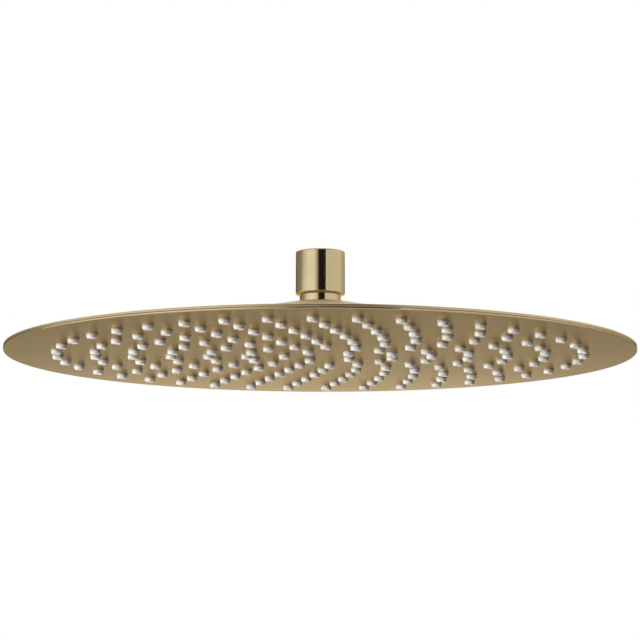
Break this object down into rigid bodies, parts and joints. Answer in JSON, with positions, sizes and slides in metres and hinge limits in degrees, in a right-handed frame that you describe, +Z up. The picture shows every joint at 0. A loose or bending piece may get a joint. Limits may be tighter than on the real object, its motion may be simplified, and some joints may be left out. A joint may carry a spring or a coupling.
{
  "type": "rain shower head",
  "caption": "Slim round rain shower head: flat face with rings of soft nozzles, shallow swept back, and a ball joint under a smooth union nut with an inlet thread.",
  "frame": {"origin": "centre of the inlet thread where its wall starts, under the lead-in chamfer of the nut", "axes": "+Z up along the inlet, out of the nut; the head hangs below; -Y faces the viewer of the picture"},
  "size_m": [0.3, 0.3, 0.0517],
  "materials": {
    "gold_sheet": "stainless sheet, brushed gold coating",
    "gold_brass": "turned, brushed gold coating",
    "plain_brass": "as turned",
    "pale_silicone": "soft, slightly clear",
    "black_rubber": "matt",
    "white_plastic": "smooth",
    "blue_plastic": "smooth",
    "grey_plastic": "smooth",
    "plain_steel": "bare stainless"
  },
  "bodies": {
    "inlet": {"inlet_nut": "gold_brass"},
    "stem": {"ball_stem": "gold_brass", "stem_clip": "plain_steel", "flow_regulator": "blue_plastic", "regulator_ring": "black_rubber", "filter_screen": "plain_steel", "inlet_washer": "black_rubber"},
    "head": {"back_shell": "gold_sheet", "face_plate": "gold_sheet", "nozzle_mat": "pale_silicone", "mat_retainer": "grey_plastic", "retainer_studs": "plain_steel", "retainer_washers": "plain_steel", "retainer_nuts": "plain_steel", "socket_boss": "plain_brass", "upper_seat": "white_plastic", "ball_seal": "black_rubber", "slip_washer": "white_plastic", "ring_nut": "plain_brass"}
  },
  "joints": [
    {"name": "stem_swivel", "type": "hinge", "parent": "inlet", "child": "stem", "pos_m": [0, 0, -0.01695], "axis": [0, 0, 1], "continuous": true},
    {"name": "head_tilt", "type": "hinge", "parent": "stem", "child": "head", "pos_m": [0, 0, -0.03297], "axis": [1, 0, 0], "range_deg": [-8, 8]}
  ]
}
